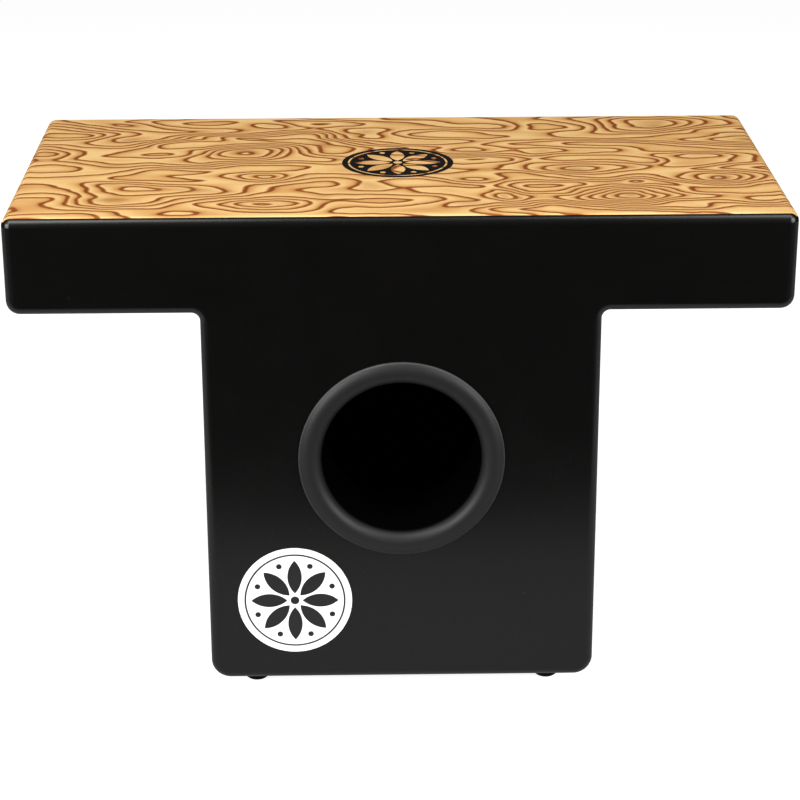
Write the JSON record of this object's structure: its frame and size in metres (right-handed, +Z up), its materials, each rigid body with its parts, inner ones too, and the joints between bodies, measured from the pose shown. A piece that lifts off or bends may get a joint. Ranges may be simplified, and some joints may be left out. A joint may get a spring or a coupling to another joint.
{
  "type": "cajon",
  "caption": "T-shaped slap-top box drum with a veneered playing surface, wings that lie over the thighs, a round front sound port, snare wires inside and small rubber feet.",
  "frame": {"origin": "on the floor, under the middle of the whole object's box, with the drum standing on its feet", "axes": "+X to the right along the wings, +Y away from the front, which has the sound port, +Z up to the playing surface"},
  "size_m": [0.45, 0.2346, 0.3005],
  "materials": {
    "black_lacquer": "satin",
    "burl_veneer": "satin",
    "raw_wood": "matte",
    "port_plastic": "satin",
    "foot_rubber": "matte",
    "white_vinyl": "satin",
    "steel": "satin"
  },
  "bodies": {
    "root": {"back_cleat": "raw_wood", "back_left_batten": "raw_wood", "back_left_foot": "foot_rubber", "back_panel": "black_lacquer", "back_right_batten": "raw_wood", "back_right_foot": "foot_rubber", "back_top_rail": "raw_wood", "bottom_panel": "black_lacquer", "foot_screws": "steel", "foot_washers": "steel", "front_cleat": "raw_wood", "front_left_batten": "raw_wood", "front_left_foot": "foot_rubber", "front_panel": "black_lacquer", "front_right_batten": "raw_wood", "front_right_foot": "foot_rubber", "front_sticker": "white_vinyl", "front_top_rail": "raw_wood", "left_side_panel": "black_lacquer", "left_snare_plate": "steel", "left_snare_wires": "steel", "left_wing_end": "black_lacquer", "left_wing_floor": "black_lacquer", "left_wing_rail": "raw_wood", "playing_surface": "burl_veneer", "right_side_panel": "black_lacquer", "right_snare_plate": "steel", "right_snare_wires": "steel", "right_wing_end": "black_lacquer", "right_wing_floor": "black_lacquer", "right_wing_rail": "raw_wood", "snare_rail": "raw_wood", "snare_screws": "steel", "sound_port": "port_plastic"}
  },
  "joints": []
}
